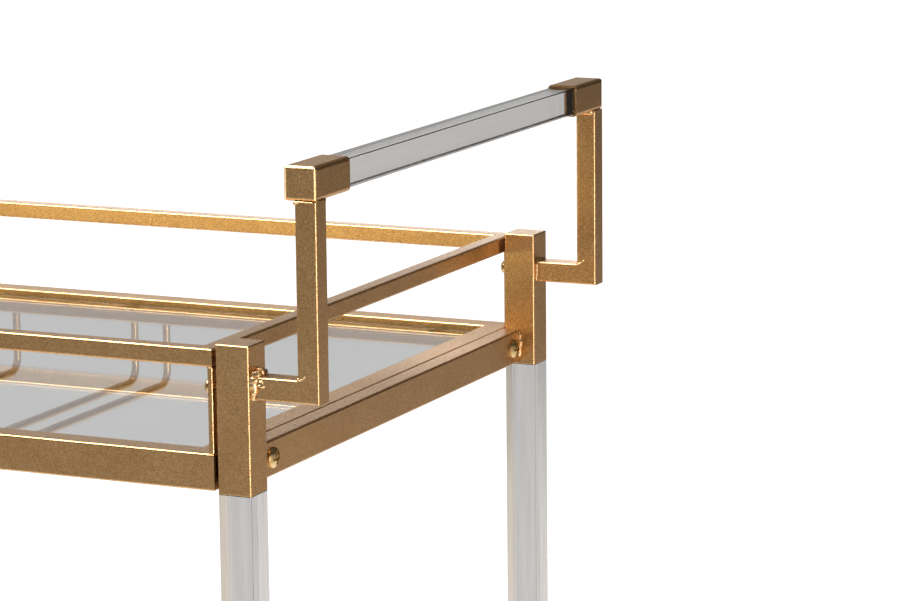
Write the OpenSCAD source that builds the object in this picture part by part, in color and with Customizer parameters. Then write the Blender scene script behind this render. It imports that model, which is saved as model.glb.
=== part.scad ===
// Two-tier bar cart: gold square-tube decks on clear acrylic legs and swivel casters.
// Origin: centre of the overall box, on the floor. +X towards the push handle, +Z up. Millimetres.

/* [Cart] */
// Length over the corner posts
frame_l = 794; // [600:1:950]
// Depth over the corner posts
frame_d = 400; // [340:1:500]
// Width of a corner post and of an acrylic leg
post_w = 20; // [18:0.5:25]
// Height of one corner post
post_h = 82.5; // [75:0.5:100]
// Length of one acrylic leg
leg_h = 507; // [350:1:600]
// Radius along the edges of posts and rails
edge_r = 1.2; // [0.6:0.1:2]
// Wall of the square tubes
wall = 1.2; // [1:0.1:2]

/* [Trays] */
// Section of the upper guard rail, square
guard_w = 10; // [8:0.5:14]
// Width of the lower tray rail
tray_w = 15; // [12:0.5:18]
// Height of the lower tray rail
tray_h = 20.5; // [18:0.5:24]
// Drop from the post's top to the guard rail's top
guard_drop = 3; // [2:0.5:6]
// Drop from the post's top to the tray rail's top
tray_drop = 60.5; // [50:0.5:70]
// Gap between a tray's end and the posts
tray_gap = 2; // [1:0.5:4]
// Thickness of the flat bar that joins the two rails at a corner
strap_t = 3; // [2:0.5:4]
// Width of that flat bar
strap_w = 10; // [8:1:20]
// Drop from the tray rail's top to the glass
glass_drop = 4; // [2:0.5:6]
// Thickness of the glass
glass_t = 5; // [4:0.5:6]
// Width of the ledge under the glass
ledge_w = 12; // [8:1:18]
// Thickness of the ledge under the glass
ledge_t = 2; // [1.5:0.5:3]
// Width of the crossbar between two posts
cross_w = 12; // [10:0.5:14]

/* [Handle] */
// Section of the bent handle arm, square
arm_w = 12.7; // [10:0.1:14]
// Reach of the handle past the post
arm_reach = 40; // [30:1:60]
// Drop from the post's top to the underside of the arm
arm_drop = 29.7; // [20:0.1:40]
// Height of the socket's underside above the post's top
socket_z = 79.2; // [60:0.1:110]
// Section of the socket, square
socket_w = 19; // [18:0.5:22]
// Length of one socket
socket_l = 41; // [30:1:60]
// Section of the acrylic grip bar, square
bar_w = 16; // [14:0.5:17]

/* [Stemware rack] */
// Diameter of the rack's rods
rod_d = 5; // [4:0.5:6]
// Distance between the two rods of one channel
rod_gap = 24; // [20:1:30]
// Distance from one channel to the next
channel_pitch = 115; // [100:1:130]
// Drop from the post's top to the rods' centres
rod_drop = 122; // [110:1:140]

/* [Casters] */
// Wheel diameter over the tyre
wheel_d = 50; // [45:1:50]
// Height from the floor to the post
caster_h = 69; // [69:1:76]
// Distance from the swivel's axis to the axle
trail = 18; // [14:1:20]
// Width of the tyre
tyre_w = 18; // [14:1:19]

/* [Hidden] */
$fn = 48;

GOLD = "darkgoldenrod";
CLEAR = "lightsteelblue";
ZINC = "khaki";
STEEL = "silver";
FRONT = -1;
BACK = 1;
LEFT = -1;
RIGHT = 1;

swivel_r = 16;
post_x = (frame_l - post_w) / 2;
post_y = (frame_d - post_w) / 2;
// The handle reaches further than the left casters do, so the posts' centre lies left of the origin.
mid_x = (post_x + swivel_r - frame_l / 2 - arm_reach) / 2;
bottom_z = caster_h;
leg_z = bottom_z + post_h;
top_z = leg_z + leg_h;
deck_z = top_z + post_h;
tray_l = frame_l - 2 * post_w - 2 * tray_gap;
tray_end = tray_l / 2;
weld_gap = 0.03;

glass_l = tray_l - 2 * tray_w - 3;
glass_d = frame_d - 2 * tray_w - 3;
pad_t = 1;
pad_r = 5;
pads_along = [-0.46, -0.15, 0.15, 0.46];

bolt_drop = 24;
bolt_r = 2;
bolt_head_r = 4.6;
bolt_head_h = 3.8;
screw_inset_front = 25;
screw_inset_back = 10;
screw_r = 2.4;
screw_head_r = 5.8;
screw_head_h = 3.4;
screw_l = 20;
hole_play = 0.1;
head_edge = 0.9;
recess_w = 2.2;

plug_t = 12;
tenon_l = 14;
tube_wall = 1.5;
cap_t = 2;
cap_r = 0.8;
fit = 0.05;

arm_y = frame_d / 2 - post_w / 2;
arm_end = frame_l / 2 + arm_reach;
socket_end = arm_y + arm_w / 2;
socket_wall = 2.4;
socket_r = 2.5;

rod_r = rod_d / 2;
bend_r = 10;
rod_back = frame_d / 2 - tray_w / 2;
rod_front = -frame_d / 2 + 40;
rod_tip = 12;

wheel_r = wheel_d / 2;
hub_r = wheel_r - 7;
hub_w = tyre_w + 1;
stem_r = 5;
stem_up = 24;
collar_r = 11;
collar_t = 4;
head_t = 3;
head_r = 8;
swivel_top = caster_h - collar_t - 0.3;
swivel_bottom = wheel_d + 4.8;
fork_in = hub_w / 2 + 1;
fork_t = 2.5;
axle_r = 3;
pin_x = trail + 6;
pin_z = wheel_d + 7;
pin_r = 1.5;
shoe_l = norm([pin_x - trail, pin_z - wheel_r]) - wheel_r - 0.4;
brake_angle = 18;

module rounded_square(w, h, r) {
  square([w - 2 * r, h], center = true);
  square([w, h - 2 * r], center = true);
  for (x = [-1, 1], y = [-1, 1])
    translate([x * (w / 2 - r), y * (h / 2 - r)]) circle(r);
}

module tube_section(w, h, r, t) {
  difference() {
    rounded_square(w, h, r);
    square([w - 2 * t, h - 2 * t], center = true);
  }
}

// A side view with rounded corners, w wide and h high on the origin, carried through a block of width w.
module soft_outline(w, h, r) {
  translate([0, 0, h / 2]) rotate([90, 0, 0]) linear_extrude(w + 2, center = true)
    rounded_square(w, h, r);
}

// A square bar that stands on the origin, rounded along its edges by r and at its two ends by end_r.
module soft_bar(w, h, r, end_r) {
  intersection() {
    linear_extrude(h) rounded_square(w, w, r);
    soft_outline(w, h, end_r);
    rotate(90) soft_outline(w, h, end_r);
  }
}

// A hole or rod along X, centred on the origin.
module along_x(r, l) {
  rotate([0, 90, 0]) cylinder(r = r, h = l, center = true);
}

module along_y(r, l) {
  rotate([90, 0, 0]) cylinder(r = r, h = l, center = true);
}

// Keeps a rail's length inside its two mitres. The outer face lies on y = 0 and the rail is w deep.
module mitre_wedge(l, w, h) {
  linear_extrude(h)
    polygon([[-l / 2 + weld_gap, 0], [l / 2 - weld_gap, 0],
             [l / 2 - w - weld_gap, w], [-l / 2 + w + weld_gap, w]]);
}

module mitred_tube(l, w, h) {
  intersection() {
    translate([0, w / 2, h / 2]) rotate([90, 0, 90])
      linear_extrude(l, center = true) tube_section(w, h, edge_r, wall);
    mitre_wedge(l, w, h);
  }
}

// Places the four sides of a rectangle: child 0 is a long side, child 1 a short one.
module four_sides(l, d) {
  for (a = [0, 180]) rotate(a) translate([0, -d / 2, 0]) children(0);
  for (a = [90, 270]) rotate(a) translate([0, -l / 2, 0]) children(1);
}

// The children are drawn at each tray corner, turned so that +X points out along the cart.
module at_corners() {
  for (sx = [LEFT, RIGHT], sy = [FRONT, BACK])
    translate([mid_x, 0, 0]) facing(sx)
      translate([tray_end, sy * (frame_d - strap_w) / 2, 0]) children();
}

// Mirrors the children along the cart where they belong to its left end.
module facing(side) {
  if (side == LEFT) mirror([1, 0, 0]) children();
  else children();
}

module at_post(side, face, z) {
  translate([mid_x + side * post_x, face * post_y, z]) children();
}

// A corner post: a square tube, hollow from low to high, with a hole for its tray bolt.
module post(side, face, z, low, high) {
  color(GOLD) at_post(side, face, z) difference() {
    soft_bar(post_w, post_h, edge_r, cap_r);
    translate([0, 0, low]) linear_extrude(high - low) square(post_w - 2 * tube_wall, center = true);
    if (low > 0) translate([0, 0, -1]) cylinder(r = stem_r + fit, h = low + 2);
    translate([-side * post_w / 2, face * (post_w - strap_w) / 2, post_h - bolt_drop])
      along_x(bolt_r + fit, 8);
  }
}

// Open below for the leg and capped above.
module top_post(side, face) {
  post(side, face, top_z, -1, post_h - cap_t);
}

// Open above for the leg, with a plug below that is bored for the caster's stem.
module bottom_post(side, face) {
  post(side, face, bottom_z, plug_t, post_h + 1);
}

// A clear solid leg with a tenon at each end that is glued into its post.
module leg(side, face) {
  color(CLEAR) at_post(side, face, leg_z) {
    linear_extrude(leg_h) rounded_square(post_w, post_w, edge_r);
    translate([0, 0, -tenon_l]) linear_extrude(leg_h + 2 * tenon_l)
      square(post_w - 2 * tube_wall - 2 * fit, center = true);
  }
}

module guard_rails(top) {
  color(GOLD) translate([mid_x, 0, top - guard_drop - guard_w])
    four_sides(tray_l, frame_d) {
      mitred_tube(tray_l, guard_w, guard_w);
      mitred_tube(frame_d, guard_w, guard_w);
    }
}

module tray_rails(top) {
  color(GOLD) difference() {
    translate([mid_x, 0, top - tray_drop - tray_h])
      four_sides(tray_l, frame_d) {
        mitred_tube(tray_l, tray_w, tray_h);
        mitred_tube(frame_d, tray_w, tray_h);
      }
    at_cross_screws(top) along_x(screw_r + hole_play, 2 * screw_l);
  }
}

module corner_straps(top) {
  strap_h = tray_drop - guard_drop - guard_w;
  color(GOLD) difference() {
    at_corners() translate([-strap_t, -strap_w / 2, top - tray_drop])
      cube([strap_t, strap_w, strap_h]);
    at_corners() translate([0, 0, top - bolt_drop]) along_x(bolt_r + hole_play, 20);
  }
}

module glass_ledges(top) {
  l = tray_l - 2 * tray_w;
  d = frame_d - 2 * tray_w;
  color(GOLD) translate([mid_x, 0, top - tray_drop - glass_drop - glass_t - pad_t - ledge_t])
    four_sides(l, d) {
      mitre_wedge(l, ledge_w, ledge_t);
      mitre_wedge(d, ledge_w, ledge_t);
    }
}

module glass(top) {
  color(CLEAR) translate([mid_x, 0, top - tray_drop - glass_drop - glass_t])
    linear_extrude(glass_t) rounded_square(glass_l, glass_d, 3);
}

module glass_pads(top) {
  color(CLEAR)
    for (k = pads_along, face = [FRONT, BACK])
      translate([mid_x + k * glass_l, face * (frame_d / 2 - tray_w - ledge_w / 2),
                 top - tray_drop - glass_drop - glass_t - pad_t])
        cylinder(r = pad_r, h = pad_t);
}

module crossbar(side, top) {
  l = frame_d - 2 * post_w;
  color(GOLD) difference() {
    translate([mid_x + side * (tray_end + cross_w / 2), 0, top - tray_drop - tray_h / 2])
      rotate([90, 0, 0]) linear_extrude(l, center = true)
        tube_section(cross_w, tray_h, edge_r, wall);
    at_cross_screws(top) along_x(screw_r + hole_play, 4 * cross_w);
  }
}

// The children are drawn on each crossbar's outer face, with +X pointing out along the cart.
module at_cross_screws(top) {
  for (side = [LEFT, RIGHT], face = [FRONT, BACK]) {
    inset = face == FRONT ? screw_inset_front : screw_inset_back;
    translate([mid_x, 0, 0]) facing(side)
      translate([tray_end + cross_w, face * (frame_d / 2 - post_w - inset),
                 top - tray_drop - tray_h / 2])
        children();
  }
}

// A pan head with a crossed recess, standing on its seat at x = 0.
module pan_head(r, h) {
  dome_h = h - head_edge;
  dome_r = (r * r + dome_h * dome_h) / (2 * dome_h);
  difference() {
    rotate([0, 90, 0]) rotate_extrude() intersection() {
      translate([0, h - dome_r]) circle(r = dome_r);
      square([r, h]);
    }
    for (a = [0, 90]) rotate([a, 0, 0]) translate([h, 0, 0])
      cube([h, 1.3 * r, recess_w], center = true);
  }
}

module crossbar_screws() {
  color(ZINC)
    for (top = [deck_z, leg_z]) at_cross_screws(top) {
      pan_head(screw_head_r, screw_head_h);
      translate([-screw_l / 2, 0, 0]) along_x(screw_r, screw_l);
    }
}

module tray_bolts() {
  color(ZINC)
    for (top = [deck_z, leg_z]) at_corners() translate([-strap_t, 0, top - bolt_drop]) {
      mirror([1, 0, 0]) pan_head(bolt_head_r, bolt_head_h);
      translate([5, 0, 0]) along_x(bolt_r, 10);
    }
}

// One channel: two rods that drop from the back rail, bend forward and end in raised tips.
module stemware_rods(k) {
  low = deck_z - rod_drop;
  hang = deck_z - tray_drop - tray_h;
  color(GOLD)
    for (s = [-1, 1])
      translate([mid_x + k * channel_pitch + s * rod_gap / 2, 0, 0]) {
        translate([0, rod_back, low + bend_r]) cylinder(r = rod_r, h = hang - low - bend_r);
        rod_bend(rod_back, low, 1);
        translate([0, (rod_back + rod_front) / 2, low])
          along_y(rod_r, rod_back - rod_front - 2 * bend_r);
        rod_bend(rod_front, low, -1);
        translate([0, rod_front, low + bend_r]) cylinder(r = rod_r, h = rod_tip);
        translate([0, rod_front, low + bend_r + rod_tip]) sphere(r = rod_r);
      }
}

// A quarter bend that joins an upright rod at y to the level rod at z; way is the upright's side.
module rod_bend(y, z, way) {
  translate([0, y - way * bend_r, z + bend_r])
    rotate([0, 90, 0]) rotate(way > 0 ? 0 : -90)
      rotate_extrude(angle = 90) translate([bend_r, 0]) circle(rod_r);
}

// A mitred arm: a stub out from the post and an upright that carries the socket.
module handle_arm(face) {
  low = deck_z - arm_drop;
  high = deck_z + socket_z;
  start = mid_x + frame_l / 2;
  outer = mid_x + arm_end;
  color(GOLD) translate([0, face * arm_y, 0]) {
    intersection() {
      translate([(start + outer) / 2, 0, low + arm_w / 2]) rotate([90, 0, 90])
        linear_extrude(arm_reach, center = true) tube_section(arm_w, arm_w, edge_r, wall);
      side_profile([[start, low], [outer, low], [outer - arm_w, low + arm_w], [start, low + arm_w]]);
    }
    intersection() {
      translate([outer - arm_w / 2, 0, low])
        linear_extrude(high - low) tube_section(arm_w, arm_w, edge_r, wall);
      side_profile([[outer, low], [outer, high], [outer - arm_w, high], [outer - arm_w, low + arm_w]]);
    }
  }
}

module side_profile(points) {
  rotate([90, 0, 0]) linear_extrude(2 * arm_w, center = true) polygon(points);
}

// A short square tube, closed at its outer end, that the grip bar slides into.
module handle_socket(face) {
  x = mid_x + arm_end - socket_w / 2;
  z = deck_z + socket_z + socket_w / 2;
  color(GOLD) difference() {
    translate([x, face * socket_end, z]) rotate([face * 90, 0, 0]) intersection() {
      soft_bar(socket_w, 2 * socket_l, socket_r, socket_r - 0.5);
      translate([0, 0, socket_l / 2]) cube([2 * socket_w, 2 * socket_w, socket_l], center = true);
    }
    translate([x, face * (socket_end - socket_wall - socket_l / 2), z])
      cube([bar_w + 0.2, socket_l, bar_w + 0.2], center = true);
  }
}

module handle_bar() {
  l = 2 * (socket_end - socket_wall - 0.5);
  color(CLEAR)
    translate([mid_x + arm_end - socket_w / 2, 0, deck_z + socket_z + socket_w / 2])
      rotate([90, 0, 0]) linear_extrude(l, center = true) rounded_square(bar_w, bar_w, 0.8);
}

// A threaded stem with a collar under the post and a riveted head under the swivel.
module caster_stems() {
  color(STEEL)
    for (side = [LEFT, RIGHT], face = [FRONT, BACK]) at_post(side, face, 0) {
      translate([0, 0, swivel_bottom - 0.3 - head_t])
        cylinder(r = stem_r, h = caster_h + stem_up - swivel_bottom + 0.3 + head_t);
      translate([0, 0, caster_h - collar_t]) cylinder(r = collar_r, h = collar_t);
      translate([0, 0, swivel_bottom - 0.3 - head_t]) cylinder(r = head_r, h = head_t);
    }
}

module fork(side, face) {
  color(STEEL) at_post(side, face, 0) difference() {
    union() {
      translate([0, 0, swivel_bottom]) cylinder(r = swivel_r, h = swivel_top - swivel_bottom);
      for (s = [-1, 1]) translate([0, s * (fork_in + fork_t / 2), 0]) fork_cheek();
    }
    translate([0, 0, swivel_bottom - 1]) cylinder(r = stem_r + fit, h = caster_h);
    translate([trail, 0, wheel_r]) along_y(axle_r + fit, 4 * fork_in);
    translate([pin_x, 0, pin_z]) along_y(pin_r + fit, 4 * fork_in);
  }
}

// The side plate of a fork: broad under the swivel, narrow at the axle, with an ear for the brake.
module fork_cheek() {
  boss_r = 8;
  rotate([90, 0, 0]) linear_extrude(fork_t, center = true) {
    polygon([[-swivel_r + 7, swivel_top - 1], [pin_x + 3, swivel_top - 1], [pin_x + 5, pin_z],
             [trail + boss_r, wheel_r], [trail - boss_r, wheel_r]]);
    translate([trail, wheel_r]) circle(boss_r);
  }
}

// The wheel's axle bolt, and beside it the pin that the brake lever turns on.
module axle(side, face) {
  outer = fork_in + fork_t;
  color(ZINC) at_post(side, face, 0) {
    translate([trail, 0, wheel_r]) {
      along_y(axle_r, 2 * outer + 1);
      for (s = [-1, 1]) translate([0, s * (outer + 1), 0]) along_y(5, 2);
    }
    translate([pin_x, 0, pin_z]) along_y(pin_r, 2 * outer);
  }
}

module wheel_hub(side, face) {
  web_r = hub_r - 4;
  color("dimgray") at_post(side, face, 0) translate([trail, 0, wheel_r]) difference() {
    along_y(hub_r, hub_w);
    for (s = [-1, 1]) translate([0, s * (hub_w / 2), 0]) difference() {
      along_y(web_r, 8);
      along_y(6, 9);
    }
    along_y(axle_r + 0.06, 2 * hub_w);
  }
}

module tyre(side, face) {
  shoulder = 3;
  inner = hub_r + 0.02;
  color("gray") at_post(side, face, 0) translate([trail, 0, wheel_r]) rotate([90, 0, 0])
    rotate_extrude() {
      translate([inner, -tyre_w / 2]) square([wheel_r - shoulder - inner, tyre_w]);
      translate([inner, -tyre_w / 2 + shoulder]) square([wheel_r - inner, tyre_w - 2 * shoulder]);
      for (s = [-1, 1])
        translate([wheel_r - shoulder, s * (tyre_w / 2 - shoulder)]) circle(shoulder);
    }
}

// A foot pedal on a barrel, with a shoe that meets the tyre when the pedal is pressed down.
module brake_lever(side, face) {
  width = 2 * fork_in - 1;
  to_wheel = atan2(wheel_r - pin_z, trail - pin_x);
  color("firebrick") at_post(side, face, 0) translate([pin_x, 0, pin_z]) difference() {
    union() {
      along_y(3.5, width);
      rotate([0, -to_wheel - brake_angle, 0]) translate([shoe_l / 2, 0, 0])
        cube([shoe_l, width - 4, 4], center = true);
      rotate([0, -6, 0]) translate([12, 0, 1.5]) cube([22, width, 2.5], center = true);
    }
    along_y(pin_r + fit, 2 * width);
  }
}

top_post(RIGHT, FRONT);  // top_post_front_right
top_post(RIGHT, BACK);  // top_post_back_right
top_post(LEFT, FRONT);  // top_post_front_left
top_post(LEFT, BACK);  // top_post_back_left
guard_rails(deck_z);  // top_guard_rails
tray_rails(deck_z);  // top_tray_rails
corner_straps(deck_z);  // top_corner_straps
glass_ledges(deck_z);  // top_glass_ledges
glass(deck_z);  // top_glass
glass_pads(deck_z);  // top_glass_pads
crossbar(RIGHT, deck_z);  // top_crossbar_right
crossbar(LEFT, deck_z);  // top_crossbar_left
stemware_rods(1);  // stemware_rods_right
stemware_rods(0);  // stemware_rods_middle
stemware_rods(-1);  // stemware_rods_left
handle_arm(FRONT);  // handle_arm_front
handle_arm(BACK);  // handle_arm_back
handle_socket(FRONT);  // handle_socket_front
handle_socket(BACK);  // handle_socket_back
handle_bar();
leg(RIGHT, FRONT);  // leg_front_right
leg(RIGHT, BACK);  // leg_back_right
leg(LEFT, FRONT);  // leg_front_left
leg(LEFT, BACK);  // leg_back_left
bottom_post(RIGHT, FRONT);  // bottom_post_front_right
bottom_post(RIGHT, BACK);  // bottom_post_back_right
bottom_post(LEFT, FRONT);  // bottom_post_front_left
bottom_post(LEFT, BACK);  // bottom_post_back_left
guard_rails(leg_z);  // bottom_guard_rails
tray_rails(leg_z);  // bottom_tray_rails
corner_straps(leg_z);  // bottom_corner_straps
glass_ledges(leg_z);  // bottom_glass_ledges
glass(leg_z);  // bottom_glass
glass_pads(leg_z);  // bottom_glass_pads
crossbar(RIGHT, leg_z);  // bottom_crossbar_right
crossbar(LEFT, leg_z);  // bottom_crossbar_left
tray_bolts();
crossbar_screws();
caster_stems();
fork(RIGHT, FRONT);  // fork_front_right
fork(RIGHT, BACK);  // fork_back_right
fork(LEFT, FRONT);  // fork_front_left
fork(LEFT, BACK);  // fork_back_left
axle(RIGHT, FRONT);  // axle_front_right
axle(RIGHT, BACK);  // axle_back_right
axle(LEFT, FRONT);  // axle_front_left
axle(LEFT, BACK);  // axle_back_left
wheel_hub(RIGHT, FRONT);  // wheel_hub_front_right
wheel_hub(RIGHT, BACK);  // wheel_hub_back_right
wheel_hub(LEFT, FRONT);  // wheel_hub_front_left
wheel_hub(LEFT, BACK);  // wheel_hub_back_left
tyre(RIGHT, FRONT);  // tyre_front_right
tyre(RIGHT, BACK);  // tyre_back_right
tyre(LEFT, FRONT);  // tyre_front_left
tyre(LEFT, BACK);  // tyre_back_left
brake_lever(LEFT, FRONT);  // brake_lever_front_left
brake_lever(LEFT, BACK);  // brake_lever_back_left
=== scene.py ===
"""Bar cart on casters: brass-lacquered steel decks, clear acrylic legs and grip, glass shelves."""

import logging
import math
import random
from collections.abc import Sequence
from dataclasses import dataclass, field
from enum import Enum

import bmesh
import bpy
from mathutils import Matrix, Vector, noise


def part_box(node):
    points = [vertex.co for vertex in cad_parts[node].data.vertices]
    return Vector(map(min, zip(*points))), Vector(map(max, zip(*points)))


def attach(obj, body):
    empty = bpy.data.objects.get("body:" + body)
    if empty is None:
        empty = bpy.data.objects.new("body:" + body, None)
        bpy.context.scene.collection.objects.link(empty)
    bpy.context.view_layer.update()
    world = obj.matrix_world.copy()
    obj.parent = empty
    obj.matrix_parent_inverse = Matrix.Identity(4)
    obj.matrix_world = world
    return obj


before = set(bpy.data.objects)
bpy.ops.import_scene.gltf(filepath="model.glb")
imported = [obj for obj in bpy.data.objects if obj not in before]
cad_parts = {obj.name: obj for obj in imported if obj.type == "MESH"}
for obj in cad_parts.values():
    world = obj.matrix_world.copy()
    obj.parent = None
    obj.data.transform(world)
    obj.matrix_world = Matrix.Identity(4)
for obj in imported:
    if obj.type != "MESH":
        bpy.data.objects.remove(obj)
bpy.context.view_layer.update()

LOG = logging.getLogger("bar_cart")
MM = 0.001
# How far handling and moulding shift a surface's roughness either way.
WEAR = 0.1
JOIN_DISTANCE = 1e-5
SHARP_DEGREES = 60
EDGE_STEPS = 3
# A direction that no weld runs along, to build each ring of a bead across its seam.
ASKEW = (0.31, 0.52, 0.8)
Colour = tuple[float, float, float, float]
Stops = Sequence[tuple[float, Colour]]


# ---------------------------------------------------------------- shared helpers


def hex_to_linear(code: str) -> Colour:
    """Turn an sRGB hex colour into the linear colour that the shaders take.

    Args:
        code: A colour such as "#C09A60".

    Returns:
        Linear red, green and blue, with an alpha of 1.
    """
    parts = [int(code[i : i + 2], 16) / 255 for i in (1, 3, 5)]
    linear = [c / 12.92 if c <= 0.04045 else ((c + 0.055) / 1.055) ** 2.4 for c in parts]
    return (linear[0], linear[1], linear[2], 1.0)


def grey(level: float) -> Colour:
    """Return a neutral linear colour of one level.

    Args:
        level: The linear value of all three channels.

    Returns:
        The colour, with an alpha of 1.
    """
    return (level, level, level, 1.0)


def per_mm(size_mm: float) -> float:
    """Return the texture scale that draws one feature each size_mm millimetres."""
    return 1.0 / (size_mm * MM)


def add_node(
    tree: bpy.types.NodeTree,
    kind: str,
    inputs: dict | None = None,
    stops: Stops = (),
    **settings: object,
) -> bpy.types.Node:
    """Add one node with its settings, its values and its links.

    Args:
        tree: The node tree to add to.
        kind: Blender's name for the node's type.
        inputs: Values or sockets by the name or index of the input they go to.
        stops: Places and colours of a colour ramp, in rising order.
        settings: Properties of the node itself.

    Returns:
        The new node.
    """
    node = tree.nodes.new(kind)
    for name, value in settings.items():
        setattr(node, name, value)
    for socket, value in (inputs or {}).items():
        if isinstance(value, bpy.types.NodeSocket):
            tree.links.new(value, node.inputs[socket])
        else:
            node.inputs[socket].default_value = value
    if stops:
        ramp = node.color_ramp.elements
        while len(ramp) < len(stops):
            ramp.new(1.0)
        for element, (place, colour) in zip(ramp, stops):
            element.position = place
            element.color = colour
    return node


# ---------------------------------------------------------------- finishes


class Run(Enum):
    """The way a drawn or cast bar runs, as the share of a pattern's scale along X, Y and Z."""

    ALONG_X = (0.05, 1.0, 1.0)
    ALONG_Y = (1.0, 0.05, 1.0)
    ALONG_Z = (1.0, 1.0, 0.05)
    EVEN = (1.0, 1.0, 1.0)


@dataclass(frozen=True)
class Finish:
    """What every finish holds: its name, its colours and how rough it is."""

    name: str
    body: str
    shade: str
    glint: str
    roughness: float

    def colours(
        self, tree: bpy.types.NodeTree, level: bpy.types.NodeSocket
    ) -> bpy.types.NodeSocket:
        """Spread a pattern's level over the finish's shade, body and glint.

        Args:
            tree: The material's node tree.
            level: The pattern, from 0 to 1.

        Returns:
            The colour socket.
        """
        stops = [
            (0.15, hex_to_linear(self.shade)),
            (0.5, hex_to_linear(self.body)),
            (0.85, hex_to_linear(self.glint)),
        ]
        return add_node(tree, "ShaderNodeValToRGB", {"Fac": level}, stops=stops).outputs["Color"]

    def spread(
        self, tree: bpy.types.NodeTree, level: bpy.types.NodeSocket, low: float, high: float
    ) -> bpy.types.NodeSocket:
        """Map a level of 0 to 1 onto the range from low to high.

        Args:
            tree: The material's node tree.
            level: The pattern, from 0 to 1.
            low: The value at 0.
            high: The value at 1.

        Returns:
            The mapped value.
        """
        node = add_node(tree, "ShaderNodeMapRange", {"Value": level, "To Min": low, "To Max": high})
        return node.outputs["Result"]

    def place(self, tree: bpy.types.NodeTree, run: Run = Run.EVEN) -> bpy.types.NodeSocket:
        """Return the cart's own coordinates in metres, stretched along the run.

        Args:
            tree: The material's node tree.
            run: The way that the pattern is drawn out.

        Returns:
            The coordinate socket.
        """
        own = add_node(tree, "ShaderNodeTexCoord").outputs["Object"]
        scaled = add_node(
            tree, "ShaderNodeVectorMath", {0: own, 1: run.value}, operation="MULTIPLY"
        )
        return scaled.outputs["Vector"]

    def draw(self, tree: bpy.types.NodeTree, surface: bpy.types.Node) -> None:
        """Draw the finish's own pattern on the surface shader.

        Args:
            tree: The material's node tree.
            surface: The shader that takes the pattern.
        """
        raise NotImplementedError

    def build(self) -> bpy.types.Material:
        """Make the material.

        Returns:
            The material, with its shader linked to its output.
        """
        material = bpy.data.materials.new(self.name)
        material.use_nodes = True
        tree = material.node_tree
        tree.nodes.clear()
        surface = add_node(tree, "ShaderNodeBsdfPrincipled")
        add_node(tree, "ShaderNodeOutputMaterial", {"Surface": surface.outputs["BSDF"]})
        self.draw(tree, surface)
        return material


@dataclass(frozen=True)
class MetallicLacquer(Finish):
    """Brass-coloured lacquer full of metal flake, sprayed and baked on steel tube.

    It gives the eye a soft metal sheen with fine sparkle, a little orange peel, and pale tops.
    """

    # The flake is under 0.1 mm, too fine to show, so it is drawn several times coarser.
    flake_mm: float = 0.55
    drift_mm: float = 55.0
    peel_mm: float = 1.5
    peel_depth_mm: float = 0.005
    coat: float = 0.08
    coat_roughness: float = 0.22
    sparkle_spread: tuple[float, float] = (-0.07, 0.09)
    drift_share: float = 0.45

    def draw(self, tree: bpy.types.NodeTree, surface: bpy.types.Node) -> None:
        """Draw flake, slow drift of tone and orange peel.

        Args:
            tree: The material's node tree.
            surface: The shader that takes the pattern.
        """
        place = self.place(tree)
        flake = add_node(
            tree, "ShaderNodeTexVoronoi", {"Vector": place, "Scale": per_mm(self.flake_mm)}
        )
        sparkle = add_node(tree, "ShaderNodeSeparateColor", {"Color": flake.outputs["Color"]})
        drift = add_node(
            tree,
            "ShaderNodeTexNoise",
            {"Vector": place, "Scale": per_mm(self.drift_mm), "Detail": 4.0, "Roughness": 0.6},
        )
        level = add_node(
            tree,
            "ShaderNodeMix",
            {"Factor": self.drift_share, "A": sparkle.outputs["Red"], "B": drift.outputs["Fac"]},
        )
        peel = add_node(
            tree,
            "ShaderNodeTexNoise",
            {"Vector": place, "Scale": per_mm(self.peel_mm), "Detail": 3.0, "Roughness": 0.6},
        )
        bump = add_node(
            tree,
            "ShaderNodeBump",
            {"Height": peel.outputs["Fac"], "Distance": self.peel_depth_mm * MM, "Strength": 1.0},
        )
        low, high = (self.roughness + change for change in self.sparkle_spread)
        rough = self.spread(tree, sparkle.outputs["Green"], low, high)
        surface.inputs["Metallic"].default_value = 1.0
        surface.inputs["Coat Weight"].default_value = self.coat
        surface.inputs["Coat Roughness"].default_value = self.coat_roughness
        tree.links.new(self.colours(tree, level.outputs["Result"]), surface.inputs["Base Color"])
        tree.links.new(rough, surface.inputs["Roughness"])
        tree.links.new(bump.outputs["Normal"], surface.inputs["Normal"])


@dataclass(frozen=True)
class CastAcrylic(Finish):
    """Clear cast acrylic bar with sawn-and-polished faces.

    It gives the eye a water-clear body with faint streaks along its length and bright inner edges.
    The streaks also tone its tint. On the legs the tint is set grey, and that grey and its darker
    bands are painted shade for the grey that refraction gives clear legs.
    """

    run: Run = Run.ALONG_Z
    streak_mm: float = 3.5
    streak_depth_mm: float = 0.02
    ior: float = 1.49

    def draw(self, tree: bpy.types.NodeTree, surface: bpy.types.Node) -> None:
        """Draw the polishing streaks, the light haze of handling, and the tint that the streaks
        tone, which on the legs is painted shade.

        Args:
            tree: The material's node tree.
            surface: The shader that takes the pattern.
        """
        place = self.place(tree, self.run)
        streak = add_node(
            tree,
            "ShaderNodeTexNoise",
            {"Vector": place, "Scale": per_mm(self.streak_mm), "Detail": 3.0, "Roughness": 0.55},
        )
        bump = add_node(
            tree,
            "ShaderNodeBump",
            {
                "Height": streak.outputs["Fac"],
                "Distance": self.streak_depth_mm * MM,
                "Strength": 1.0,
            },
        )
        rough = self.spread(tree, streak.outputs["Fac"], 0.0, 2 * self.roughness)
        surface.inputs["Transmission Weight"].default_value = 1.0
        surface.inputs["IOR"].default_value = self.ior
        # Painted shade where the tint is grey, as on the legs: the streaks swing the base colour
        # between darker and paler bands.
        tree.links.new(self.colours(tree, streak.outputs["Fac"]), surface.inputs["Base Color"])
        tree.links.new(rough, surface.inputs["Roughness"])
        tree.links.new(bump.outputs["Normal"], surface.inputs["Normal"])


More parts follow.
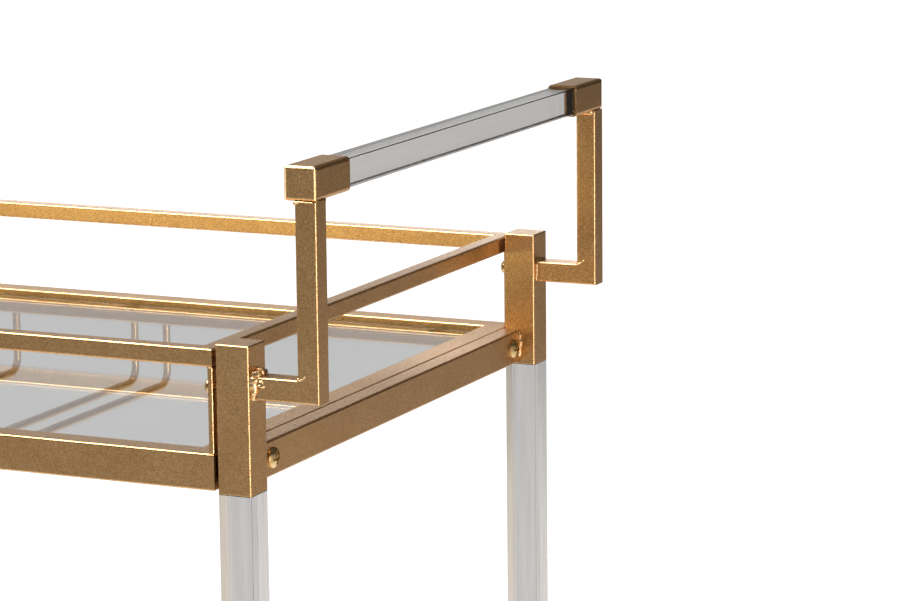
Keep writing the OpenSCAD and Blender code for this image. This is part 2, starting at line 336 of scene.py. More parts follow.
@dataclass(frozen=True)
class FloatGlass(Finish):
    """Toughened float glass with ground edges.

    It gives the eye a clear grey sheet, mirror-like at a low angle, with a frosted green-grey rim.
    """

    smudge_mm: float = 45.0
    edge: str = "#C9DAD2"
    edge_roughness: float = 0.35
    ior: float = 1.52

    def draw(self, tree: bpy.types.NodeTree, surface: bpy.types.Node) -> None:
        """Draw faint smudges on the faces and the ground rim around them.

        Args:
            tree: The material's node tree.
            surface: The shader that takes the pattern.
        """
        smudge = add_node(
            tree,
            "ShaderNodeTexNoise",
            {
                "Vector": self.place(tree),
                "Scale": per_mm(self.smudge_mm),
                "Detail": 5.0,
                "Roughness": 0.6,
            },
        )
        facing = add_node(
            tree,
            "ShaderNodeSeparateXYZ",
            {"Vector": add_node(tree, "ShaderNodeNewGeometry").outputs["True Normal"]},
        )
        upright = add_node(
            tree, "ShaderNodeMath", {0: facing.outputs["Z"]}, operation="ABSOLUTE"
        )
        rim = add_node(
            tree,
            "ShaderNodeMapRange",
            {"Value": upright.outputs["Value"], "To Min": 1.0, "To Max": 0.0},
        ).outputs["Result"]
        hue = add_node(
            tree,
            "ShaderNodeMix",
            {0: rim, 6: self.colours(tree, smudge.outputs["Fac"]), 7: hex_to_linear(self.edge)},
            data_type="RGBA",
        )
        rough = add_node(
            tree,
            "ShaderNodeMix",
            {
                "Factor": rim,
                "A": self.spread(tree, smudge.outputs["Fac"], 0.0, 2 * self.roughness),
                "B": self.edge_roughness,
            },
        )
        surface.inputs["Transmission Weight"].default_value = 1.0
        surface.inputs["IOR"].default_value = self.ior
        tree.links.new(hue.outputs[2], surface.inputs["Base Color"])
        tree.links.new(rough.outputs["Result"], surface.inputs["Roughness"])


@dataclass(frozen=True)
class ClearSilicone(Finish):
    """Clear silicone bumper pad.

    It gives the eye a small milky disc with a soft shine and a little dust.
    """

    # Dust is finer than this and would not show, so it is drawn coarser.
    dust_mm: float = 0.6
    skin_depth_mm: float = 0.02
    clearness: float = 0.7
    ior: float = 1.41

    def draw(self, tree: bpy.types.NodeTree, surface: bpy.types.Node) -> None:
        """Draw the dust and the moulded skin.

        Args:
            tree: The material's node tree.
            surface: The shader that takes the pattern.
        """
        dust = add_node(
            tree,
            "ShaderNodeTexNoise",
            {"Vector": self.place(tree), "Scale": per_mm(self.dust_mm), "Detail": 4.0},
        )
        bump = add_node(
            tree,
            "ShaderNodeBump",
            {"Height": dust.outputs["Fac"], "Distance": self.skin_depth_mm * MM, "Strength": 1.0},
        )
        rough = self.spread(
            tree, dust.outputs["Fac"], self.roughness - WEAR, self.roughness + WEAR
        )
        surface.inputs["Transmission Weight"].default_value = self.clearness
        surface.inputs["IOR"].default_value = self.ior
        tree.links.new(self.colours(tree, dust.outputs["Fac"]), surface.inputs["Base Color"])
        tree.links.new(rough, surface.inputs["Roughness"])
        tree.links.new(bump.outputs["Normal"], surface.inputs["Normal"])


@dataclass(frozen=True)
class PlatedSteel(Finish):
    """Zinc-plated steel, bright or with a yellow chromate.

    It gives the eye a crisp metal shine that shifts a little in hue, with fine press marks.
    """

    bloom_mm: float = 5.0
    # The marks are near 0.1 mm wide, too fine to show, so they are drawn several times coarser.
    mark_mm: float = 0.5
    mark_depth_mm: float = 0.008
    run: Run = Run.EVEN

    def draw(self, tree: bpy.types.NodeTree, surface: bpy.types.Node) -> None:
        """Draw the chromate's bloom and the press marks.

        Args:
            tree: The material's node tree.
            surface: The shader that takes the pattern.
        """
        place = self.place(tree, self.run)
        bloom = add_node(
            tree,
            "ShaderNodeTexNoise",
            {"Vector": place, "Scale": per_mm(self.bloom_mm), "Detail": 3.0, "Distortion": 0.4},
        )
        mark = add_node(
            tree,
            "ShaderNodeTexNoise",
            {"Vector": place, "Scale": per_mm(self.mark_mm), "Detail": 2.0, "Roughness": 0.7},
        )
        bump = add_node(
            tree,
            "ShaderNodeBump",
            {"Height": mark.outputs["Fac"], "Distance": self.mark_depth_mm * MM, "Strength": 1.0},
        )
        rough = self.spread(
            tree, mark.outputs["Fac"], self.roughness - WEAR, self.roughness + WEAR
        )
        surface.inputs["Metallic"].default_value = 1.0
        tree.links.new(self.colours(tree, bloom.outputs["Fac"]), surface.inputs["Base Color"])
        tree.links.new(rough, surface.inputs["Roughness"])
        tree.links.new(bump.outputs["Normal"], surface.inputs["Normal"])


@dataclass(frozen=True)
class MouldedPolymer(Finish):
    """Injection-moulded nylon or thermoplastic rubber.

    It gives the eye a dark matt skin with a fine spark-eroded grain and paler scuffs.
    """

    # The grain is near 0.2 mm, too fine to show, so it is drawn about three times coarser.
    grain_mm: float = 0.6
    grain_depth_mm: float = 0.03
    scuff_mm: float = 9.0

    def draw(self, tree: bpy.types.NodeTree, surface: bpy.types.Node) -> None:
        """Draw the mould grain and the scuffs.

        Args:
            tree: The material's node tree.
            surface: The shader that takes the pattern.
        """
        place = self.place(tree)
        grain = add_node(
            tree,
            "ShaderNodeTexVoronoi",
            {"Vector": place, "Scale": per_mm(self.grain_mm), "Randomness": 1.0},
        )
        scuff = add_node(
            tree,
            "ShaderNodeTexNoise",
            {"Vector": place, "Scale": per_mm(self.scuff_mm), "Detail": 6.0, "Roughness": 0.7},
        )
        bump = add_node(
            tree,
            "ShaderNodeBump",
            {
                "Height": grain.outputs["Distance"],
                "Distance": self.grain_depth_mm * MM,
                "Strength": 1.0,
            },
        )
        rough = self.spread(
            tree, scuff.outputs["Fac"], self.roughness + WEAR, self.roughness - WEAR
        )
        tree.links.new(self.colours(tree, scuff.outputs["Fac"]), surface.inputs["Base Color"])
        tree.links.new(rough, surface.inputs["Roughness"])
        tree.links.new(bump.outputs["Normal"], surface.inputs["Normal"])


@dataclass
class Finishes:
    """Every material on the cart, made once and shared."""

    brass: bpy.types.Material = field(init=False)
    bead: bpy.types.Material = field(init=False)
    leg: bpy.types.Material = field(init=False)
    grip: bpy.types.Material = field(init=False)
    glass: bpy.types.Material = field(init=False)
    silicone: bpy.types.Material = field(init=False)
    yellow_zinc: bpy.types.Material = field(init=False)
    bright_zinc: bpy.types.Material = field(init=False)
    nylon: bpy.types.Material = field(init=False)
    rubber: bpy.types.Material = field(init=False)

    def __post_init__(self) -> None:
        """Build the materials."""
        self.brass = MetallicLacquer(
            "brass_lacquer_on_steel", "#BC9363", "#A57C4C", "#D3AC7B", 0.34
        ).build()
        # The same lacquer over weld metal: a thicker coat, broken up by spatter and ripples.
        self.bead = MetallicLacquer(
            "brass_lacquer_on_weld", "#C6A070", "#A47A48", "#E2C69A", 0.33,
            peel_mm=1.0, peel_depth_mm=0.1, coat=0.3,
        ).build()
        # The legs' tint is greyer than the grip's. It is painted shade for the grey that the clear
        # legs take on from what they refract, and the streaks band it darker.
        self.leg = CastAcrylic(
            "clear_cast_acrylic_leg", "#EFECEA", "#D6D2CF", "#FCFCFC", 0.03, run=Run.ALONG_Z,
            streak_depth_mm=0.05,
        ).build()
        self.grip = CastAcrylic(
            "clear_cast_acrylic_grip", "#FBF9F8", "#F4F2F1", "#FFFFFF", 0.02, run=Run.ALONG_Y
        ).build()
        self.glass = FloatGlass(
            "toughened_float_glass", "#FAFCFB", "#F6F8F7", "#FEFFFE", 0.01
        ).build()
        self.silicone = ClearSilicone(
            "clear_silicone", "#E6E8E6", "#D6D8D6", "#F2F4F2", 0.35
        ).build()
        self.yellow_zinc = PlatedSteel(
            "yellow_chromated_zinc_on_steel", "#C8A873", "#A08552", "#DCCB9E", 0.22
        ).build()
        self.bright_zinc = PlatedSteel(
            "bright_zinc_on_pressed_steel", "#B9BBBE", "#A2A5AA", "#CFD1D2", 0.3, bloom_mm=12.0
        ).build()
        self.nylon = MouldedPolymer(
            "moulded_black_nylon", "#2C2D2F", "#232426", "#3A3B3D", 0.45
        ).build()
        self.rubber = MouldedPolymer(
            "thermoplastic_rubber", "#4A4B4D", "#3F4042", "#5E5F60", 0.7, grain_mm=0.9
        ).build()


def dress(node: str, material: bpy.types.Material, edge_mm: float = 0.0) -> None:
    """Give a frame node its finish.

    Args:
        node: The node's name.
        material: The finish for every one of its faces.
        edge_mm: How far its sharp edges are broken, or 0 to leave them.
    """
    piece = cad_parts[node]
    if edge_mm:
        joined = piece.modifiers.new("joined_faces", "WELD")
        joined.merge_threshold = JOIN_DISTANCE
        broken = piece.modifiers.new("broken_edges", "BEVEL")
        broken.width = edge_mm * MM
        broken.segments = EDGE_STEPS
        broken.limit_method = "ANGLE"
        broken.angle_limit = math.radians(SHARP_DEGREES)
    for place in range(max(1, len(piece.data.materials))):
        if place < len(piece.data.materials):
            piece.data.materials[place] = material
        else:
            piece.data.materials.append(material)
    LOG.info("dressed %s in %s", node, material.name)


# ---------------------------------------------------------------- weld beads


@dataclass
class WeldBead:
    """A hand-laid weld: overlapping puddles of metal along a seam, in millimetres.

    Each point of the seam has its own bead radius.
    """

    name: str
    seam: Sequence[tuple[float, float, float, float]]
    closed: bool = False
    seed: int = 1
    ripple_mm: float = 3.2
    ripple: float = 0.08
    lump_mm: float = 3.0
    lump: float = 0.4
    sides: int = 14
    step_mm: float = 0.35
    # Share of the bead's cross-section left at an open end, so that the tip is blunt.
    tip: float = 0.05

    def stations(self) -> list[tuple[Vector, float]]:
        """Walk the seam in short steps.

        Returns:
            Points in metres, each with the bead's radius there.
        """
        knots = list(self.seam) + ([self.seam[0]] if self.closed else [])
        walk: list[tuple[Vector, float]] = []
        for here, there in zip(knots, knots[1:]):
            start, end = Vector(here[:3]), Vector(there[:3])
            count = max(1, round((end - start).length / self.step_mm))
            for k in range(count):
                share = k / count
                radius = here[3] + share * (there[3] - here[3])
                walk.append((start.lerp(end, share) * MM, radius * MM))
        if not self.closed:
            walk.append((Vector(knots[-1][:3]) * MM, knots[-1][3] * MM))
        return walk

    def build(self, material: bpy.types.Material) -> bpy.types.Object:
        """Sweep a lumpy ring along the seam and close it.

        Args:
            material: The bead's finish.

        Returns:
            The bead, riding on the cart's body.
        """
        chance = random.Random(self.seed)
        offset = Vector([chance.uniform(0, 50) for _ in range(3)])
        walk = self.stations()
        count = len(walk)
        mesh = bmesh.new()
        rings = []
        run = 0.0
        for k, (centre, radius) in enumerate(walk):
            before = walk[(k - 1) % count if self.closed else max(0, k - 1)][0]
            after = walk[(k + 1) % count if self.closed else min(count - 1, k + 1)][0]
            ahead = (after - before).normalized()
            side = ahead.cross(Vector(ASKEW)).normalized()
            lift = ahead.cross(side)
            run += (centre - before).length
            swell = 1 + self.ripple * math.sin(2 * math.pi * run / (self.ripple_mm * MM))
            if not self.closed:
                end = min(k, count - 1 - k) * self.step_mm * MM / radius
                swell *= math.sqrt(max(self.tip, 1 - max(0.0, 1 - end) ** 2))
            ring = []
            for turn in range(self.sides):
                angle = 2 * math.pi * turn / self.sides
                out = side * math.cos(angle) + lift * math.sin(angle)
                bulge = noise.noise((centre + out * radius) * per_mm(self.lump_mm) + offset)
                reach = out * radius * swell * (1 + self.lump * bulge)
                ring.append(mesh.verts.new(centre + reach))
            rings.append(ring)
        pairs = list(zip(rings, rings[1:]))
        if self.closed:
            pairs.append((rings[-1], rings[0]))
        for near, far in pairs:
            for turn in range(self.sides):
                nxt = (turn + 1) % self.sides
                mesh.faces.new((near[turn], near[nxt], far[nxt], far[turn]))
        if not self.closed:
            mesh.faces.new(rings[0][::-1])
            mesh.faces.new(rings[-1])
        bmesh.ops.recalc_face_normals(mesh, faces=mesh.faces)
        data = bpy.data.meshes.new(self.name)
        mesh.to_mesh(data)
        mesh.free()
        data.shade_smooth()
        data.materials.append(material)
        bead = bpy.data.objects.new(self.name, data)
        bpy.context.scene.collection.objects.link(bead)
        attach(bead, "cart")
        LOG.info("laid %s", self.name)
        return bead


def box_mm(node: str) -> tuple[Vector, Vector]:
    """Measure a node's box.

    Args:
        node: The node's name.

    Returns:
        Its lowest and highest corners in millimetres.
    """
    low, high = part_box(node)
    return low / MM, high / MM


# ---------------------------------------------------------------- sub-assemblies


class Face(Enum):
    """The cart's two long sides."""

    FRONT = "front"
    BACK = "back"


class End(Enum):
    """The cart's two short ends."""

    RIGHT = "right"
    LEFT = "left"


class Deck(Enum):
    """The two trays."""

    TOP = "top"
    BOTTOM = "bottom"


CORNERS = [(face, end) for end in End for face in Face]


@dataclass
class Tray:
    """One deck: four corner posts, two crossbars, and a framed glass shelf between them."""

    deck: Deck
    finishes: Finishes
    cross_bead_mm: float = 1.2
    strap_bead_mm: float = 1.3
    strap_edge_mm: float = 0.6
    strap_mm: float = 3.0

    def dress(self) -> None:
        """Give the deck's nodes their finishes."""
        deck = self.deck.value
        brass = [f"{deck}_post_{face.value}_{end.value}" for face, end in CORNERS]
        brass += [f"{deck}_{part}" for part in ("guard_rails", "tray_rails", "glass_ledges")]
        brass += [f"{deck}_crossbar_{end.value}" for end in End]
        for node in brass:
            dress(node, self.finishes.brass)
        dress(f"{deck}_corner_straps", self.finishes.brass, self.strap_edge_mm)
        dress(f"{deck}_glass", self.finishes.glass)
        dress(f"{deck}_glass_pads", self.finishes.silicone)

    def weld_crossbars(self) -> None:
        """Lay an upright bead where each crossbar meets a post."""
        for end in End:
            low, high = box_mm(f"{self.deck.value}_crossbar_{end.value}")
            outer = high.x if end is End.RIGHT else low.x
            out = 1 if end is End.RIGHT else -1
            for face, y, way in ((Face.FRONT, low.y, 1), (Face.BACK, high.y, -1)):
                r = self.cross_bead_mm
                WeldBead(
                    f"{self.deck.value}_crossbar_weld_{face.value}_{end.value}",
                    [
                        (outer + out * 0.2, y + way * 0.3, low.z + 3.0, r),
                        (outer + out * 0.5, y + way * 0.3, low.z + 9.0, r * 1.2),
                        (outer + out * 0.2, y + way * 0.3, high.z - 2.0, r * 0.9),
                    ],
                    seed=len(face.value) * 7 + len(end.value),
                    lump=0.6,
                ).build(self.finishes.bead)

    def weld_straps(self) -> None:
        """Lay short beads that join each corner strap to the rails above and below it."""
        deck = self.deck.value
        rails_low, rails_high = box_mm(f"{deck}_guard_rails")
        under = rails_low.z
        over = box_mm(f"{deck}_tray_rails")[1].z
        for end in End:
            edge = rails_high.x if end is End.RIGHT else rails_low.x
            inward = -1 if end is End.RIGHT else 1
            for face in Face:
                y = rails_low.y if face is Face.FRONT else rails_high.y
                toward = 1 if face is Face.FRONT else -1
                for level, z in (("upper", under - 0.3), ("lower", over + 0.3)):
                    x = edge + inward * (self.strap_mm + 0.2)
                    r = self.strap_bead_mm
                    WeldBead(
                        f"{deck}_strap_weld_{level}_{face.value}_{end.value}",
                        [
                            (x, y + toward * 1.6, z, r),
                            (x, y + toward * 5.0, z, r * 0.8),
                            (x, y + toward * 8.5, z, r),
                        ],
                        seed=11 + len(level) + len(face.value) + 3 * len(end.value),
                    ).build(self.finishes.bead)

    def build(self) -> None:
        """Dress the deck and lay its welds."""
        self.dress()
        self.weld_crossbars()
        self.weld_straps()


@dataclass
class PushHandle:
    """Two mitred arms, a socket on each, and the clear grip bar between them."""

    finishes: Finishes
    tube_mm: float = 12.7
    root_bead_mm: float = 2.3
    crown_bead_mm: float = 3.2
    neat_bead_mm: float = 0.8
    fillet_bead_mm: float = 2.2
    seam_bead_mm: float = 0.45
    corner_bead_mm: float = 0.9

    def weld_root(self, face: Face) -> None:
        """Lay the bead around the arm's stub where it meets the post, heavier on the front arm.

        Args:
            face: Which of the two arms.
        """
        low, high = box_mm(f"handle_arm_{face.value}")
        wall = box_mm(f"top_post_{face.value}_right")[1].x
        top = low.z + self.tube_mm
        heavy = face is Face.FRONT
        r, crown = self.root_bead_mm, self.crown_bead_mm
        if not heavy:
            r, crown = self.neat_bead_mm, self.neat_bead_mm
        x, mid = wall + 0.25 * r, (low.y + high.y) / 2
        WeldBead(
            f"handle_root_weld_{face.value}",
            [
                (x, low.y - 0.1 * r, low.z + 1.0, 0.6 * r),
                (x + 0.3 * r, low.y - 0.2 * r, low.z + 6.0, r),
                (x + 0.2 * r, low.y - 0.1 * r, top - 2.5, 1.15 * r),
                (x + 0.2 * r, low.y + 0.8 * r, top + 0.1 * r, crown),
                (x + 0.3 * r, mid, top + 0.4 * r, 1.1 * crown),
                (x + 0.2 * r, high.y - 0.7 * r, top + 0.1 * r, 0.8 * crown),
                (x, high.y, top - 4.0, 0.8 * r),
                (x, high.y, low.z + 1.5, 0.6 * r),
                (x, mid, low.z, 0.5 * r),
            ],
            closed=True,
            seed=5 if heavy else 23,
            lump=0.35 if heavy else 0.3,
        ).build(self.finishes.bead)
        if heavy:
            WeldBead(
                "handle_root_puddle",
                [
                    (x + 1.8 * r, low.y + 0.6 * r, top - 1.0, 0.9 * r),
                    (x + 2.0 * r, low.y + 0.7 * r, top - 4.0, 1.25 * r),
                    (x + 1.8 * r, low.y + 0.7 * r, top - 7.0, 0.9 * r),
                ],
                seed=61,
                lump=0.35,
            ).build(self.finishes.bead)

    def weld_mitre(self, face: Face) -> None:
        """Lay a thin bead in the arm's inner corner and a ground-down one across its outer side.

        Args:
            face: Which of the two arms.
        """
        low, high = box_mm(f"handle_arm_{face.value}")
        x, z = high.x - self.tube_mm, low.z + self.tube_mm
        WeldBead(
            f"handle_mitre_weld_{face.value}",
            [
                (x - 0.2, low.y + 1.0, z + 0.2, self.corner_bead_mm),
                (x - 0.2, high.y - 1.0, z + 0.2, self.corner_bead_mm),
            ],
            seed=31,
        ).build(self.finishes.bead)
        WeldBead(
            f"handle_mitre_seam_{face.value}",
            [
                (x - 2.2, low.y + 0.25, z - 0.9, 0.4),
                (x + 0.5, low.y + 0.1, z - 0.3, 0.55),
                (x + 3.0, low.y + 0.1, z + 0.9, 0.5),
                (x + 5.2, low.y + 0.2, z + 2.6, 0.35),
            ],
            seed=37,
        ).build(self.finishes.bead)

    def weld_socket(self, face: Face) -> None:
        """Lay a thin bead under the socket's closed end and a fillet under its open one.

        Args:
            face: Which of the two arms.
        """
        low, high = box_mm(f"handle_arm_{face.value}")
        x, z = high.x - self.tube_mm, high.z
        outer, inner, inward = (low.y, high.y, 1) if face is Face.FRONT else (high.y, low.y, -1)
        thin, drop, fat = self.seam_bead_mm, 2 * self.seam_bead_mm, self.fillet_bead_mm
        WeldBead(
            f"handle_socket_seam_{face.value}",
            [
                (x + 0.2, outer + inward * 4.0, z - 0.2, 2 * thin),
                (x + 0.3, outer + inward * 0.3, z - drop, 2.6 * thin),
                (x + 3.5, outer, z - 0.2, thin),
                (high.x - 1.5, outer + inward * 0.2, z - 0.4, 0.7 * thin),
            ],
            seed=41 if face is Face.FRONT else 43,
            lump=0.5,
        ).build(self.finishes.bead)
        WeldBead(
            f"handle_socket_fillet_{face.value}",
            [
                (x + 0.8 * fat, inner + inward * 0.1 * fat, z - 0.2 * fat, 0.8 * fat),
                ((x + high.x) / 2, inner + inward * 0.1 * fat, z - 0.3 * fat, fat),
                (high.x - 1.15 * fat, inner + inward * 0.1 * fat, z - 0.3 * fat, fat),
                (high.x - 1.15 * fat, (inner + outer) / 2, z + 0.1 * fat, fat),
                (high.x - 1.05 * fat, outer + inward * fat, z + 0.1 * fat, 0.9 * fat),
            ],
            seed=47,
            lump=0.08,
            ripple=0.02,
        ).build(self.finishes.brass)

    def build(self) -> None:
        """Dress the handle and lay its welds."""
        for face in Face:
            dress(f"handle_arm_{face.value}", self.finishes.brass)
            dress(f"handle_socket_{face.value}", self.finishes.brass)
            self.weld_root(face)
            self.weld_mitre(face)
            self.weld_socket(face)
        dress("handle_bar", self.finishes.grip)


@dataclass
class StemwareRack:
    """Three pairs of bent rods under the top deck, welded up into its rails."""

    finishes: Finishes
    rod_mm: float = 5.0
    bead_mm: float = 0.9
    points: int = 10

    def weld_rods(self, channel: str) -> None:
        """Lay a small ring of weld where each rod of a channel meets the back rail.

        Args:
            channel: Which of the three channels.
        """
        low, high = box_mm(f"stemware_rods_{channel}")
        y = high.y - self.rod_mm / 2
        for side, x in (("a", low.x + self.rod_mm / 2), ("b", high.x - self.rod_mm / 2)):
            ring = []
            for k in range(self.points):
                angle = 2 * math.pi * k / self.points
                reach = self.rod_mm / 2 + 0.1
                across, deep = reach * math.cos(angle), reach * math.sin(angle)
                ring.append((x + across, y + deep, high.z - 0.5, self.bead_mm))
            WeldBead(f"rod_weld_{channel}_{side}", ring, closed=True, seed=53 + ord(side)).build(
                self.finishes.bead
            )

    def build(self) -> None:
        """Dress the rods and lay their welds."""
        for channel in ("right", "middle", "left"):
            dress(f"stemware_rods_{channel}", self.finishes.brass)
            self.weld_rods(channel)


@dataclass
class Legs:
    """Four clear legs and the hardware that holds the cart together."""

    finishes: Finishes

    def build(self) -> None:
        """Dress the legs and the bolts and screws."""
        for face, end in CORNERS:
            dress(f"leg_{face.value}_{end.value}", self.finishes.leg)
        for node in ("tray_bolts", "crossbar_screws"):
            dress(node, self.finishes.yellow_zinc)


@dataclass
class Casters:
    """Four swivel casters, the left two with a brake pedal."""

    finishes: Finishes

    def build(self) -> None:
        """Dress the stems, forks, axles, wheels and pedals."""
        dress("caster_stems", self.finishes.bright_zinc)
        for face, end in CORNERS:
            corner = f"{face.value}_{end.value}"
            dress(f"fork_{corner}", self.finishes.bright_zinc)
            dress(f"axle_{corner}", self.finishes.bright_zinc)
            dress(f"wheel_hub_{corner}", self.finishes.nylon)
            dress(f"tyre_{corner}", self.finishes.rubber)
            if end is End.LEFT:
                dress(f"brake_lever_{corner}", self.finishes.nylon)


# ---------------------------------------------------------------- studio


@dataclass
class Softbox:
    """A rectangular studio light that looks at one point.

    It may light only some frame nodes, or everything but some.
    """

    name: str
    at: tuple[float, float, float]
    aim: tuple[float, float, float]
    size: tuple[float, float]
    radiance: float
    colour: str = "#FFFFFF"
    only: Sequence[str] = ()
    skip: Sequence[str] = ()

    def build(self) -> bpy.types.Object:
        """Hang the light.

        Returns:
            The light's object.
        """
        data = bpy.data.lights.new(self.name, "AREA")
        data.shape = "RECTANGLE"
        data.size, data.size_y = self.size
        # An area light's power is four times its radiance times its area.
        data.energy = 4 * self.radiance * self.size[0] * self.size[1]
        data.color = hex_to_linear(self.colour)[:3]
        light = bpy.data.objects.new(self.name, data)
        light.location = self.at
        look = Vector(self.aim) - Vector(self.at)
        light.rotation_euler = look.to_track_quat("-Z", "Y").to_euler()
        light.visible_camera = False
        light.visible_transmission = False
        bpy.context.scene.collection.objects.link(light)
        if self.only or self.skip:
            named = bpy.data.collections.new(f"{self.name}_receivers")
            for node in self.only or self.skip:
                named.objects.link(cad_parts[node])
            for item in named.collection_objects:
                item.light_linking.link_state = "INCLUDE" if self.only else "EXCLUDE"
            light.light_linking.receiver_collection = named
        return light


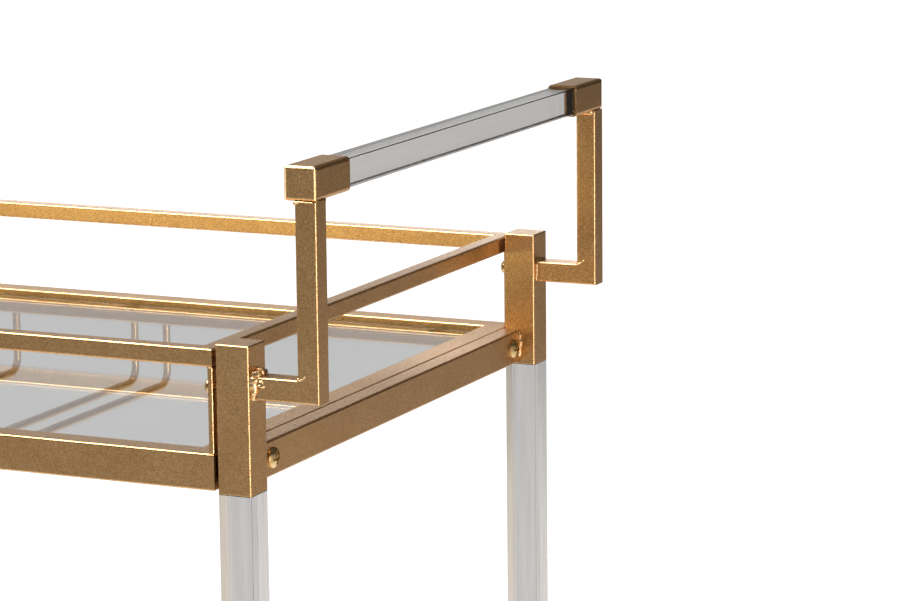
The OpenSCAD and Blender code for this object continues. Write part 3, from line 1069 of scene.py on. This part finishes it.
@dataclass
class Studio:
    """A pale floor, a grey room and softboxes, with the camera at the cart's right front."""

    camera_at: tuple[float, float, float] = (1.29083, -1.90663, 1.1268)
    yaw: float = 24.901
    pitch: float = 10.613
    roll: float = -0.614
    lens_mm: float = 148.42
    floor_size: float = 60.0
    floor_turns: int = 64
    bend_steps: int = 8
    floor_glow: tuple[float, float] = (0.35, 1.0)
    floor_reach: tuple[float, float] = (0.6, 2.2)
    floor_paint: float = 0.35
    floor_roughness: float = 0.9
    # Brightness by the height of the direction, from straight down to straight up.
    room: tuple[tuple[float, float], ...] = (
        (-1.0, 1.9), (-0.8, 1.7), (-0.5, 1.0), (-0.3, 0.84), (-0.235, 0.72), (-0.2, 0.48),
        (-0.17, 0.26), (-0.13, 0.13), (0.0, 0.08), (0.34, 0.06), (0.6, 0.15), (1.0, 0.5),
    )
    sheet: tuple[tuple[float, float], ...] = (
        (-1.0, 1.9), (-0.8, 1.7), (-0.5, 0.95), (-0.3, 0.66), (-0.2, 0.6), (0.1, 0.56),
        (0.24, 0.46), (0.34, 0.06), (0.6, 0.15), (1.0, 0.5),
    )
    peak: float = 2.0
    dark_way: tuple[float, float, float] = (0.4, 0.917, 0.0)
    warm_way: tuple[float, float, float] = (0.7, 0.7, 0.0)
    warm: str = "#FFF4E6"
    # How closely a direction must follow its way for the change to start and to be full.
    dark_range: tuple[float, float] = (0.7, 0.85)
    warm_range: tuple[float, float] = (0.3, 0.9)

    def add_camera(self) -> None:
        """Place the camera and make it the scene's own."""
        yaw, pitch, roll = (math.radians(a) for a in (self.yaw, self.pitch, self.roll))
        ahead = Vector(
            (-math.sin(yaw) * math.cos(pitch), math.cos(yaw) * math.cos(pitch), -math.sin(pitch))
        )
        right = Vector((math.cos(yaw), math.sin(yaw), 0.0))
        up = right.cross(ahead)
        across = math.cos(roll) * right + math.sin(roll) * up
        over = -math.sin(roll) * right + math.cos(roll) * up
        data = bpy.data.cameras.new("camera")
        data.lens = self.lens_mm
        data.sensor_width = 36.0
        data.clip_end = 200.0
        camera = bpy.data.objects.new("camera", data)
        turn = Matrix((across, over, -ahead)).transposed()
        camera.matrix_world = Matrix.Translation(self.camera_at) @ turn.to_4x4()
        bpy.context.scene.collection.objects.link(camera)
        bpy.context.scene.camera = camera

    def add_room(self) -> None:
        """Surround the cart with pale sheets, left open to a dark room at two opposite ends."""
        world = bpy.data.worlds.new("grey_room")
        bpy.context.scene.world = world
        world.use_nodes = True
        tree = world.node_tree
        tree.nodes.clear()
        way = add_node(tree, "ShaderNodeTexCoord").outputs["Generated"]
        height = add_node(tree, "ShaderNodeSeparateXYZ", {"Vector": way}).outputs["Z"]
        share = add_node(
            tree, "ShaderNodeMapRange", {"Value": height, "From Min": -1.0, "From Max": 1.0}
        ).outputs["Result"]
        bands = []
        for levels in (self.room, self.sheet):
            stops = [((z + 1) / 2, grey(level / self.peak)) for z, level in levels]
            bands.append(add_node(tree, "ShaderNodeValToRGB", {"Fac": share}, stops=stops))
        lean_warm, lean_dark = (
            add_node(tree, "ShaderNodeVectorMath", {0: way, 1: aim}, operation="DOT_PRODUCT")
            for aim in (self.warm_way, self.dark_way)
        )
        either_end = add_node(
            tree, "ShaderNodeMath", {0: lean_dark.outputs["Value"]}, operation="ABSOLUTE"
        )
        warmth, dark = (
            add_node(
                tree, "ShaderNodeMapRange", {"Value": lean, "From Min": start, "From Max": end}
            ).outputs["Result"]
            for lean, start, end in (
                (lean_warm.outputs["Value"], *self.warm_range),
                (either_end.outputs["Value"], *self.dark_range),
            )
        )
        wall = add_node(
            tree,
            "ShaderNodeMix",
            {0: warmth, 6: bands[0].outputs["Color"], 7: hex_to_linear(self.warm)},
            data_type="RGBA",
            blend_type="MULTIPLY",
        )
        whole = add_node(
            tree,
            "ShaderNodeMix",
            {0: dark, 6: bands[1].outputs["Color"], 7: wall.outputs[2]},
            data_type="RGBA",
        )
        glow = add_node(
            tree, "ShaderNodeBackground", {"Color": whole.outputs[2], "Strength": self.peak}
        )
        add_node(tree, "ShaderNodeOutputWorld", {"Surface": glow.outputs["Background"]})

    def add_floor(self) -> None:
        """Lay the pale floor, which brightens away from the cart and sweeps up all round."""
        mesh = bmesh.new()
        rim, bend = self.floor_size / 2, self.floor_size / 6
        profile = [mesh.verts.new((x, 0.0, 0.0)) for x in (0.0, rim - bend)]
        for k in range(1, self.bend_steps + 1):
            angle = math.radians(90 * k / self.bend_steps)
            out, up = math.sin(angle), 1 - math.cos(angle)
            profile.append(mesh.verts.new((rim - bend + bend * out, 0.0, bend * up)))
        profile.append(mesh.verts.new((rim, 0.0, rim)))
        edges = [mesh.edges.new(pair) for pair in zip(profile, profile[1:])]
        bmesh.ops.spin(
            mesh, geom=profile + edges, cent=(0, 0, 0), axis=(0, 0, 1), dvec=(0, 0, 0),
            angle=2 * math.pi, steps=self.floor_turns, use_merge=True,
        )
        bmesh.ops.remove_doubles(mesh, verts=mesh.verts, dist=JOIN_DISTANCE)
        bmesh.ops.recalc_face_normals(mesh, faces=mesh.faces)
        bmesh.ops.reverse_faces(mesh, faces=mesh.faces)
        data = bpy.data.meshes.new("pale_floor")
        mesh.to_mesh(data)
        mesh.free()
        material = bpy.data.materials.new("pale_floor")
        material.use_nodes = True
        tree = material.node_tree
        tree.nodes.clear()
        place = add_node(tree, "ShaderNodeTexCoord").outputs["Object"]
        reach = add_node(tree, "ShaderNodeVectorMath", {0: place}, operation="LENGTH")
        glow = add_node(
            tree,
            "ShaderNodeMapRange",
            {
                "Value": reach.outputs["Value"],
                "From Min": self.floor_reach[0],
                "From Max": self.floor_reach[1],
                "To Min": self.floor_glow[0],
                "To Max": self.floor_glow[1],
            },
        )
        surface = add_node(
            tree,
            "ShaderNodeBsdfPrincipled",
            {
                "Base Color": grey(self.floor_paint),
                "Roughness": self.floor_roughness,
                "Emission Color": grey(1.0),
                "Emission Strength": glow.outputs["Result"],
            },
        )
        add_node(tree, "ShaderNodeOutputMaterial", {"Surface": surface.outputs["BSDF"]})
        data.materials.append(material)
        floor = bpy.data.objects.new("pale_floor", data)
        floor.visible_glossy = False
        floor.visible_transmission = False
        floor.visible_diffuse = False
        bpy.context.scene.collection.objects.link(floor)

    def add_lights(self) -> None:
        """Hang the big lights, then the small ones that reach only some of the lacquered steel."""
        cart = (0.37, -0.19, 0.72)
        brass = [
            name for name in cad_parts
            if name.startswith(("top_", "handle_arm"))
            and name not in ("top_glass", "top_glass_pads")
        ]
        far = [name for name in brass if "front" not in name and "ledges" not in name]
        clear = [
            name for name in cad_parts
            if name.startswith("leg_") or name in ("top_glass", "bottom_glass", "handle_bar")
        ]
        boxes = (
            Softbox("overhead_box", (-0.74, -0.70, 2.79), cart, (1.9, 1.9), 13.0),
            Softbox("right_strip", (1.83, -0.97, 0.45), cart, (0.28, 1.2), 15.0, skip=clear),
            Softbox(
                "back_strip", (-0.21, 0.36, 0.768), (-0.21, 0.19, 0.738), (1.18, 0.05), 1.4,
                only=brass,
            ),
            Softbox(
                "far_fill", (-0.05, -0.13, 0.705), (-0.05, 0.19, 0.705), (0.56, 0.05), 3.0,
                "#FFF0B0", only=far,
            ),
            Softbox(
                "left_strip", (-1.95, -0.94, 0.27), cart, (0.4, 1.4), 9.0,
                only=("handle_socket_front",),
            ),
        )
        for box in boxes:
            box.build()

    def build(self) -> None:
        """Set up the whole studio."""
        bpy.context.scene.view_settings.view_transform = "Standard"
        self.add_camera()
        self.add_room()
        self.add_floor()
        self.add_lights()
        LOG.info("studio ready")


def main() -> None:
    """Dress the cart around its frame and light it."""
    logging.basicConfig(level=logging.INFO, format="%(name)s: %(message)s")
    finishes = Finishes()
    for deck in Deck:
        Tray(deck, finishes).build()
    PushHandle(finishes).build()
    StemwareRack(finishes).build()
    Legs(finishes).build()
    Casters(finishes).build()
    Studio().build()


if __name__ == "__main__":
    main()
